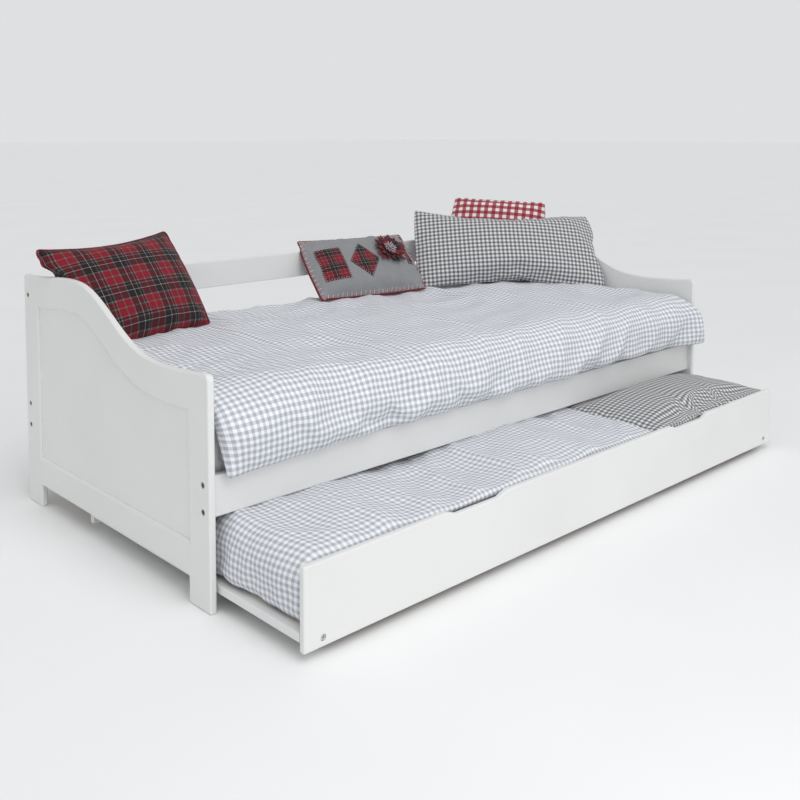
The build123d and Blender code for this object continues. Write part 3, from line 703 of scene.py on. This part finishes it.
# A piece may pass a wall once it is this far above it
STARTS_OVER, FREE_OVER = 0.004, 0.05


def held_back(places, limit):
    """Places kept short of a limit, slowing down over the last of the way."""
    soft = limit - SOFT_STOP + SOFT_STOP * np.tanh((places - limit + SOFT_STOP) / SOFT_STOP)
    return np.where(places > limit - SOFT_STOP, soft, places)


def press_against_frame(bag):
    """Keep a leaning piece inside the ends and the back rail, except where it rises above them."""
    points = points_of(bag)
    wall = abs(INNER_LEFT) - 0.004
    for side, node in ((-1, "left_top_rail"), (1, "right_top_rail")):
        above = ease(points[:, 2] - crest_heights(node, points[:, 1]), STARTS_OVER, FREE_OVER)
        points[:, 0] = held_back(points[:, 0] * side, wall + 0.09 * above) * side
    above = ease(points[:, 2] - high("back_top_rail")[2], STARTS_OVER, FREE_OVER)
    points[:, 1] = held_back(points[:, 1], low("back_top_rail")[1] - 0.003 + 0.05 * above)
    move_points(bag, points)


def finish_cushions(bags):
    """Scale, place and declare every filled cushion."""
    for name, cushion in CUSHIONS.items():
        bag = bags[name]
        fit_bag(bag, *cushion.size)
        pucker(bag, cushion.size, cushion.gathers, 40)
        sag_seams(bag, cushion.size, cushion.sag)
        if name == PILLOW:
            fold_corner_back(bag)
        if name == WOOL:
            bag = sew_on(bag)
        if name == TARTAN:
            bag = with_piping(bag, border(grid_of(cushion)), RED_FELT)
        seat(bag, lean(cushion.centre, *cushion.angles))
        if name == LOW_PILLOW:
            press_under_rail(bag)
        else:
            press_against_frame(bag)
        if name != WOOL:
            soften(bag)
        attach(bag, "trundle" if name == LOW_PILLOW else "daybed")
        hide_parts(cushion.node)


# ---------- applique of the wool cushion


class Parts:
    """Collects points, faces, cloth places and material numbers of small pieces."""

    def __init__(self):
        self.points, self.faces, self.flat, self.kinds = [], [], [], []

    def add(self, points, faces, flat, kind):
        first = len(self.points)
        self.points.extend(points)
        self.flat.extend(flat)
        self.faces.extend([first + number for number in face] for face in faces)
        self.kinds.extend([kind] * len(faces))


def smooth_copy(bag):
    """The bag's mesh after one subdivision."""
    soften(bag)
    graph = bpy.context.evaluated_depsgraph_get()
    mesh = bpy.data.meshes.new_from_object(bag.evaluated_get(graph))
    bag.modifiers.clear()
    return mesh


class Front:
    """The front face of a filled cushion, to sew things on."""

    def __init__(self, mesh):
        self.tree = ray_tree(mesh)

    def at(self, u, v, lift=0.0):
        spot, normal, _, _ = self.tree.ray_cast(Vector((u, v, 1.0)), Vector((0, 0, -1)))
        if spot is None:
            spot, normal, _, _ = self.tree.find_nearest(Vector((u, v, 0.0)))
        return spot + normal * lift


KIND_WOOL, KIND_TARTAN, KIND_RED, KIND_BLACK, KIND_SILVER, KIND_PINK = range(6)
FELT = 0.0022
# Corners of the tartan patches and the middle of the flower, from the middle of the cushion
PATCHES = (
    ((-0.196, -0.072), (-0.096, -0.072), (-0.096, 0.060), (-0.196, 0.060)),
    ((-0.014, -0.080), (0.050, -0.006), (-0.014, 0.068), (-0.078, -0.006)),
    ((0.176, -0.030), (0.204, -0.030), (0.204, 0.075), (0.176, 0.075)),
)
FLOWER_PLACE = (0.108, 0.030)
# Blanket stitch round the seam, and the finer stitches round a patch
STITCH_R, STITCH_GAP, STITCH_LENGTH = 0.0015, 0.0095, 0.011
FINE_R, FINE_GAP, FINE_LENGTH = 0.0005, 0.0085, 0.006
# Rounds of petals: how many, where they start and end, half width, lift and curl
PETALS = ((15, 0.016, 0.066, 0.0085, 0.0030, 0.010), (13, 0.012, 0.054, 0.0080, 0.0065, 0.014),
          (11, 0.008, 0.040, 0.0070, 0.0100, 0.016))


def add_stitch(parts, start, end, radius, kind):
    """A short thread lying between two points, thicker in its middle."""
    direction = (end - start).normalized()
    side = direction.orthogonal().normalized()
    other = direction.cross(side)
    rings, around = 5, 6
    points = []
    for ring in range(rings):
        share = ring / (rings - 1)
        size = radius * (0.55 + 0.45 * math.sin(math.pi * share))
        middle = start.lerp(end, share)
        for step in range(around):
            turn = 2 * math.pi * step / around
            points.append(middle + (side * math.cos(turn) + other * math.sin(turn)) * size)
    faces = []
    for ring in range(rings - 1):
        for step in range(around):
            here, following = ring * around + step, ring * around + (step + 1) % around
            faces.append([here, following, following + around, here + around])
    faces.append(list(range(around))[::-1])
    faces.append([(rings - 1) * around + step for step in range(around)])
    parts.add(points, faces, [(point.x, point.y) for point in points], kind)


def add_patch(parts, front, corners):
    """A tartan patch between four corners, sewn round with short stitches."""
    count = 11
    shares = [number / (count - 1) for number in range(count)]
    a, b, c, d = [Vector(corner) for corner in corners]
    top, bottom, flat = [], [], []
    for t in shares:
        left, right = a.lerp(d, t), b.lerp(c, t)
        for s in shares:
            spot = left.lerp(right, s)
            inside = min(s, 1 - s, t, 1 - t) > 0
            top.append(front.at(spot.x, spot.y, FELT if inside else FELT * 0.5))
            bottom.append(front.at(spot.x, spot.y, -0.001))
            flat.append((spot.x * 1.6, spot.y * 1.6))
    upper, lower = numbered(count, count), numbered(count, count, count ** 2)
    faces = [list(face) for face in quads(upper)] + [list(face)[::-1] for face in quads(lower)]
    for up_line, low_line in ((upper[0], lower[0]), (upper[-1][::-1], lower[-1][::-1]),
                              (upper[::-1, 0], lower[::-1, 0]), (upper[:, -1], lower[:, -1])):
        for n in range(count - 1):
            faces.append([low_line[n], low_line[n + 1], up_line[n + 1], up_line[n]])
    parts.add(top + bottom, faces, flat + flat, KIND_TARTAN)
    for first, second, inward in ((a, b, d - a), (b, c, a - b), (c, d, b - c), (d, a, c - d)):
        steps = int((second - first).length / FINE_GAP)
        pull = inward.normalized() * FINE_LENGTH
        for n in range(steps):
            spot = first.lerp(second, (n + 0.5) / steps)
            add_stitch(parts, front.at(spot.x - pull.x * 0.2, spot.y - pull.y * 0.2, FELT),
                       front.at(spot.x + pull.x, spot.y + pull.y, FELT + 0.0004), FINE_R, KIND_SILVER)


def add_petal(parts, front, centre, turn, near, far, width, lift, curl, kind):
    """A cut felt petal, creased along its middle and curling up at its tip."""
    rows, columns = 8, 5
    points, flat = [], []
    for row in range(rows):
        share = row / (rows - 1)
        reach = near + (far - near) * share
        half = width * max(0.12, math.sin(math.pi * (0.10 + 0.82 * share)) ** 0.7)
        for column in range(columns):
            aside = (column / (columns - 1) * 2 - 1) * half
            u = centre[0] + reach * math.cos(turn) - aside * math.sin(turn)
            v = centre[1] + reach * math.sin(turn) + aside * math.cos(turn)
            height = lift + curl * share ** 2 + 0.35 * abs(aside)
            points.append(front.at(u, v, height))
            flat.append((u * 2.2, v * 2.2))
    index = numbered(rows, columns)
    under = [point - Vector((0, 0, 0.0016)) for point in points]
    faces = [list(face) for face in quads(index)]
    faces = [face[::-1] for face in faces] + [[n + rows * columns for n in face] for face in faces]
    ring = [int(n) for n in border(index)]
    for n, here in enumerate(ring):
        following = ring[(n + 1) % len(ring)]
        faces.append([here, following, following + rows * columns, here + rows * columns])
    parts.add(points + under, faces, flat + flat, kind)


def add_flower(parts, front, centre):
    """A flower of felt petals in three rounds, with a silvery tufted middle."""
    random = np.random.default_rng(7)
    kinds = (KIND_RED, KIND_TARTAN, KIND_BLACK, KIND_RED, KIND_TARTAN)
    for level, (count, near, far, width, lift, curl) in enumerate(PETALS):
        for number in range(count):
            turn = 2 * math.pi * (number + 0.4 * level) / count + random.uniform(-0.09, 0.09)
            reach = far * random.uniform(0.86, 1.08)
            kind = kinds[(number * 2 + level) % len(kinds)]
            add_petal(parts, front, centre, turn, near, reach, width, lift, curl, kind)
    for number in range(26):
        turn = 2.4 * number
        distance = 0.0042 * math.sqrt(number)
        foot = front.at(centre[0] + distance * math.cos(turn), centre[1] + distance * math.sin(turn), 0.011)
        outward = Vector((math.cos(turn), math.sin(turn), 0)) * 0.006 * random.uniform(0.4, 1.2)
        add_stitch(parts, foot, foot + outward + Vector((0, 0, 0.011)), 0.0021, KIND_SILVER)


def add_blanket_stitch(parts, front, rim):
    """Thread over the seam, in short strokes square to the edge."""
    width, height, _ = CUSHIONS[WOOL].size
    lengths = [(rim[n] - rim[n - 1]).length for n in range(len(rim))]
    ends = np.cumsum(lengths)
    spots = []
    for mark in np.arange(0, sum(lengths), STITCH_GAP):
        n = int(np.searchsorted(ends, mark, side="right")) % len(rim)
        share = (mark - (ends[n] - lengths[n])) / lengths[n]
        spots.append(rim[n - 1].lerp(rim[n], share))
    for n, spot in enumerate(spots):
        inward = -Vector((spot.x / (width / 2), spot.y / (height / 2), 0))
        if abs(inward.x) > abs(inward.y):
            inward.y = 0
        else:
            inward.x = 0
        inward = inward.normalized() * STITCH_LENGTH
        tip = front.at(spot.x + inward.x, spot.y + inward.y, 0.0008)
        start = spot + Vector((0, 0, PIPING_R))
        add_stitch(parts, start, tip, STITCH_R, KIND_SILVER if n % 2 else KIND_PINK)


def sew_on(bag):
    """The wool cushion with its patches, flower and blanket stitch, as one piece."""
    mesh = smooth_copy(bag)
    front = Front(mesh)
    parts = Parts()
    points = [vertex.co.copy() for vertex in mesh.vertices]
    parts.add(points, faces_of(mesh), cloth_places(mesh).tolist(), KIND_WOOL)
    for corners in PATCHES:
        add_patch(parts, front, corners)
    add_flower(parts, front, FLOWER_PLACE)
    rim = [points[int(n)] for n in border(grid_of(CUSHIONS[WOOL]))]
    cord, skins, on_cloth = piping(np.array(rim), 0)
    parts.add([Vector(point) for point in cord], skins.tolist(), on_cloth.tolist(), KIND_RED)
    add_blanket_stitch(parts, front, rim)
    woven = (SLOT_MATERIALS["grey_wool"], SLOT_MATERIALS["tartan_wool"])
    materials = (*woven, RED_FELT, BLACK_FELT, SILVER_YARN, PINK_YARN)
    places = [tuple(point) for point in parts.points]
    return remake(bag, mesh, places, parts.faces, parts.flat, materials, parts.kinds)


# ---------- duvets

DUVET_STEP = 0.0165
# How far a duvet's rim stands off what it lies on, and how wide its side and hem are rounded
RIM_LIFT = 0.014
SIDE_ROUND, HEM_ROUND = 0.075, 0.045


class Fall:
    """A section that runs level towards smaller values, bends round an edge and hangs down.

    The duvet's cover lies outside it, so the cover is longer than the section round the bend.
    """

    def __init__(self, start, edge, top, radius, cover):
        self.start, self.edge, self.top, self.radius = start, edge, top, radius
        self.level = start - (edge + radius)
        self.arc = radius * math.pi / 2
        self.stretch = (radius + cover) / radius

    def length(self, hem):
        """Length of the cover when it hangs down to a hem height."""
        return self.level + self.arc * self.stretch + (self.top - self.radius - hem)

    def section(self, flat):
        """Place on the section for a place on the cover."""
        bend = np.clip(flat - self.level, 0, self.arc * self.stretch)
        return flat - bend + bend / self.stretch

    def at(self, s):
        """Place along the run, height, and the outward direction as two more values."""
        angle = np.clip((s - self.level) / self.radius, 0, math.pi / 2)
        run = np.minimum(s, self.level)
        drop = np.maximum(s - self.level - self.arc, 0)
        place = self.start - run - self.radius * np.sin(angle)
        height = self.top - self.radius * (1 - np.cos(angle)) - drop
        return place, height, -np.sin(angle), np.cos(angle)


def duvet_grid(width, length):
    """Even cloth coordinates across and along a duvet, from 0 to 1."""
    columns, rows = counts((width, length), DUVET_STEP)
    return np.meshgrid(np.linspace(0, 1, columns), np.linspace(0, 1, rows))


def crumple(x, s, seed):
    """Unevenness of a used duvet, in metres: broad swells, medium folds and small creases."""
    swells = ripples(x, s, seed, 0.95, 0.50, 9)
    folds = ripples(x * 0.8, s, seed + 1, 0.36, 0.18, 12)
    creases = ripples(x, s * 0.7, seed + 2, 0.14, 0.08, 14)
    return 0.0070 * swells - 0.0080 * abs(folds) + 0.0016 * creases


def duvet_shape(across, along, width, fall, hem, thickness, hem_lift, seed):
    """Outer and inner layers of a duvet as (cross place, run place, height) arrays, and cloth places."""
    total = fall.length(hem)
    s = along * total
    x = (across - 0.5) * width
    side = rounded_edge(np.minimum(across, 1 - across) * width, SIDE_ROUND)
    back = rounded_edge(s, SIDE_ROUND)
    bottom = rounded_edge(total - s, HEM_ROUND)
    edge = np.minimum(np.minimum(side, back), bottom)
    full = edge * (thickness + crumple(x, s, seed) * ease(edge, 0.2, 1.0))
    extra = hem_lift - RIM_LIFT
    near_hem = ease(s, total - 0.13, total)
    full = full - extra * 0.6 * ease(s, total - 0.12, total) * edge
    wave = 0.0035 * ripples(x, 0 * s, seed + 5, 0.16, 0.06, 6) * ease(s, total - 0.10, total)
    raised = (RIM_LIFT + extra * near_hem) * (1 - edge) + extra * 0.4 * near_hem * edge + wave
    place, height, out_run, out_up = fall.at(fall.section(s))
    outer = np.stack([x, place + out_run * (full + raised), height + out_up * (full + raised)], axis=-1)
    inner = np.stack([x, place + out_run * raised, height + out_up * raised], axis=-1)
    skew_x = 0.006 * ripples(x, s, seed + 3, 0.7, 0.28, 9)
    skew_s = 0.006 * ripples(x, s, seed + 4, 0.7, 0.28, 9)
    return outer, inner, np.stack([x + skew_x, s + skew_s], axis=-1)


def settle_cover(outer, shrink):
    """The cover of a duvet as a sheet over its filling, ready to be simulated."""
    index = numbered(*outer.shape[:2])
    faces = quads(index)[:, ::-1]
    filling = new_object("filling", outer.reshape(-1, 3), faces)
    filling.modifiers.new("solid", "COLLISION")
    filling.collision.thickness_outer = 0.002
    filling.collision.cloth_friction = 20
    sheet = new_object("cover", outer.reshape(-1, 3), faces)
    rim = np.concatenate([index[0], index[-1], index[1:-1, 0], index[1:-1, -1]])
    add_cloth(sheet, 0.0, 12.0, 0.4, 1.0, shrink, pins=rim)
    return filling, sheet


DUVET_INSET = 0.006
DUVET_THICKNESS = 0.050
# Height of the main duvet's hem along the bed, by share of its width
HEM_SHARES = (0.0, 0.1, 0.25, 0.45, 0.62, 0.80, 0.95, 1.0)
HEM_HEIGHTS = (0.297, 0.304, 0.311, 0.312, 0.313, 0.319, 0.313, 0.310)


def main_duvet_shape():
    """The duvet of the daybed: level on the mattress and down over its front edge."""
    width = INNER_RIGHT - INNER_LEFT - 2 * DUVET_INSET
    fall = Fall(BED_BACK - 0.012, MATTRESS_FRONT - 0.004, MATTRESS_TOP + 0.001, 0.045, DUVET_THICKNESS)
    across, along = duvet_grid(width, fall.length(HEM_HEIGHTS[3]))
    hem = np.interp(across, HEM_SHARES, HEM_HEIGHTS)
    outer, inner, flat = duvet_shape(across, along, width, fall, hem, DUVET_THICKNESS, 0.042, 11)
    for layer in (outer, inner):
        hang = ease(-layer[..., 1], -MATTRESS_FRONT - 0.02, -MATTRESS_FRONT + 0.03)
        right = ease(across, 0.90, 0.99)
        left = 1 - ease(across, 0.01, 0.06)
        layer[..., 1] -= hang * (0.030 * right + 0.004 * left)
        spread = ease(-layer[..., 1], -POST_FRONT + 0.004, -POST_FRONT + 0.024)
        layer[..., 0] += 0.036 * spread * right
        slanting = 1 - ease(layer[..., 2], MATTRESS_TOP - 0.15, MATTRESS_TOP - 0.01)
        layer[..., 0] += 0.013 * slanting * left
    return outer, inner, flat


TRUNDLE_DUVET_END = high("trundle_duvet")[0]
TRUNDLE_DUVET_THICKNESS = 0.031


def trundle_duvet_shape():
    """The duvet of the trundle: level on its mattress and down over the left end."""
    width = BOARD_FRONT - PANEL_BACK - 0.008
    fall = Fall(TRUNDLE_DUVET_END, TRUNDLE_LEFT - 0.016, TRUNDLE_TOP + 0.001, 0.03, TRUNDLE_DUVET_THICKNESS)
    hem = BATTEN_TOP + 0.003
    across, along = duvet_grid(width, fall.length(hem))
    outer, inner, flat = duvet_shape(across, along, width, fall, hem, TRUNDLE_DUVET_THICKNESS, RIM_LIFT, 23)
    return to_trundle(outer), to_trundle(inner), flat


def to_trundle(layer):
    """Turn a trundle duvet's (cross, run, height) places into the row frame."""
    middle = (BOARD_FRONT + PANEL_BACK) / 2
    return np.stack([layer[..., 1], middle - layer[..., 0], layer[..., 2]], axis=-1)


def finish_duvet(name, outer, inner, flat, node, body):
    """Close, round and declare a duvet."""
    made = join_layers(name, outer, inner, flat, SLOT_MATERIALS["duvet_gingham"], way=-1)
    soften(made)
    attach(made, body)
    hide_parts(node)


# ---------- mattresses

MATTRESS_STEP = 0.02
WALL_LEVELS = 6
WALL_BULGE = 0.006


def mattress(name, node, body):
    """A foam mattress: crowned faces, a bulging border and piping along both edges."""
    bottom, top = low(node), high(node)
    margin = 2 * PIPING_R + 0.012
    size = top - bottom - (margin, margin, 0)
    columns, rows = counts(size, MATTRESS_STEP)
    across, up = np.meshgrid(np.linspace(-0.5, 0.5, columns) * size[0],
                             np.linspace(-0.5, 0.5, rows) * size[1])
    rim = np.minimum(size[0] / 2 - abs(across), size[1] / 2 - abs(up))
    crown = size[2] / 2 * (0.88 + 0.09 * rounded_edge(rim, 0.05))
    crown = crown + 0.0012 * ripples(across, up, 5, 0.2, 0.08, 10) * rounded_edge(rim, 0.1)
    upper = np.stack([across, up, crown], axis=-1).reshape(-1, 3)
    index = numbered(rows, columns)
    ring = border(index)
    points, flat = [upper, upper * (1, 1, -1)], [upper[:, :2], upper[:, :2]]
    faces = [quads(index), quads(index + rows * columns)[:, ::-1]]
    count = 2 * rows * columns
    start = ring
    for level in range(1, WALL_LEVELS + 1):
        share = level / WALL_LEVELS
        if level < WALL_LEVELS:
            wall = upper[ring] * (1, 1, 1 - 2 * share)
            bulge = WALL_BULGE * math.sin(math.pi * share)
            for axis in (0, 1):
                outermost = abs(wall[:, axis]) > size[axis] / 2 - 0.001
                wall[:, axis] += np.sign(wall[:, axis]) * bulge * outermost
            points.append(wall)
            flat.append(np.stack([np.arange(len(ring)) * MATTRESS_STEP, wall[:, 2]], axis=-1))
            following = count + np.arange(len(ring))
            count += len(ring)
        else:
            following = ring + rows * columns
        faces.append(np.stack([start, following, np.roll(following, -1), np.roll(start, -1)], axis=-1))
        start = following
    for edge in (upper[ring], upper[ring] * (1, 1, -1)):
        more, skins, places = piping(edge, count)
        count += len(more)
        points.append(more)
        faces.append(skins)
        flat.append(places)
    middle = (top + bottom) / 2
    made = new_object(name, np.vstack(points) + middle, np.vstack(faces), np.vstack(flat),
                      SLOT_MATERIALS["mattress_ticking"])
    soften(made)
    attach(made, body)
    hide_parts(node)


# ---------- room


FLOOR_REACH = 90
WINDOW = Vector((-1.1, -2.9, 1.9))


def put(name, data, place, turn):
    """An object that isn't part of the bed, at a place and turned by Euler angles."""
    made = bpy.data.objects.new(name, data)
    made.location = place
    made.rotation_euler = turn
    bpy.context.scene.collection.objects.link(made)
    return made


def aim(way):
    """Euler angles that point a light along a direction."""
    return way.to_track_quat("-Z", "Y").to_euler()


def studio():
    """Pale floor, soft light and the camera."""
    pale = Shader("studio_floor", 0.9)
    clouds = pale.noise(pale.object_space(), 1.5)
    pale.set("Base Color", pale.ramp(clouds, [(0.3, (0.89, 0.89, 0.89)), (0.7, (0.91, 0.91, 0.91))]))
    corners = [(x * FLOOR_REACH, y * FLOOR_REACH, 0) for x, y in ((-1, -1), (1, -1), (1, 1), (-1, 1))]
    floor = new_object("studio_floor", corners, [(0, 1, 2, 3)], material=pale.material)

    world = bpy.data.worlds.new("studio")
    world.use_nodes = True
    tree = world.node_tree
    direction = tree.nodes.new("ShaderNodeTexCoord").outputs["Generated"]
    split = tree.nodes.new("ShaderNodeSeparateXYZ")
    tree.links.new(direction, split.inputs[0])
    fade = tree.nodes.new("ShaderNodeMapRange")
    fade.interpolation_type = "SMOOTHSTEP"
    for socket, value in ((1, 0.10), (2, 0.5), (3, 0.76), (4, 0.5)):
        fade.inputs[socket].default_value = value
    tree.links.new(split.outputs["Z"], fade.inputs[0])
    sky = tree.nodes["Background"]
    sky.inputs["Color"].default_value = (0.97, 0.985, 1.0, 1)
    tree.links.new(fade.outputs[0], sky.inputs["Strength"])
    bpy.context.scene.world = world

    sun = bpy.data.lights.new("overhead", "SUN")
    sun.energy = 1.0
    sun.angle = math.radians(50)
    put("overhead", sun, (0, 0, 0), aim(Vector((0.12, 0.42, -1.0))))
    window = bpy.data.lights.new("window", "AREA")
    window.energy = 25
    window.size = 2.0
    put("window", window, WINDOW, aim(Vector((-0.3, -0.3, 0.3)) - WINDOW))

    bpy.context.scene.view_settings.view_transform = "Standard"
    turn = (math.radians(90 - 3.96), 0, math.radians(-43.41))
    camera = put("camera", bpy.data.cameras.new("camera"), (-2.185, -2.159, 1.076), turn)
    camera.data.lens = 44.26
    camera.data.sensor_width = 36
    camera.data.shift_x, camera.data.shift_y = 0.0028, -0.25
    bpy.context.scene.camera = camera


# ---------- everything together


CLOTH_FRAMES = 26
# Stiffness of a cushion's cloth: stretching and bending
BAG_STRETCH, BAG_BEND = 20.0, 0.6
# How much larger than its filling each duvet's cover is cut, as a share below 0
MAIN_SHRINK, LOW_SHRINK = -0.035, -0.03


def make_bedding():
    """Cut, simulate and place every soft piece."""
    bags = {name: flat_bag(name, cushion) for name, cushion in CUSHIONS.items()}
    main_outer, main_inner, main_flat = main_duvet_shape()
    low_outer, low_inner, low_flat = trundle_duvet_shape()
    for name, bag in bags.items():
        add_cloth(bag, CUSHIONS[name].pressure, BAG_STRETCH, BAG_BEND, 0.0, 0.0)
    fillings = [settle_cover(main_outer, MAIN_SHRINK), settle_cover(low_outer, LOW_SHRINK)]
    sheets = [sheet for _, sheet in fillings]
    run_cloth([*bags.values(), *sheets], CLOTH_FRAMES)
    main_outer = points_of(sheets[0]).reshape(main_outer.shape)
    low_outer = points_of(sheets[1]).reshape(low_outer.shape)
    for thing in [piece for pair in fillings for piece in pair]:
        bpy.data.objects.remove(thing)
    finish_cushions(bags)
    finish_duvet("duvet_cover", main_outer, main_inner, main_flat, "duvet", "daybed")
    finish_duvet("trundle_duvet_cover", low_outer, low_inner, low_flat, "trundle_duvet", "trundle")
    mattress("mattress_foam", "mattress", "daybed")
    mattress("trundle_mattress_foam", "trundle_mattress", "trundle")


dress_frame()
make_bedding()
studio()
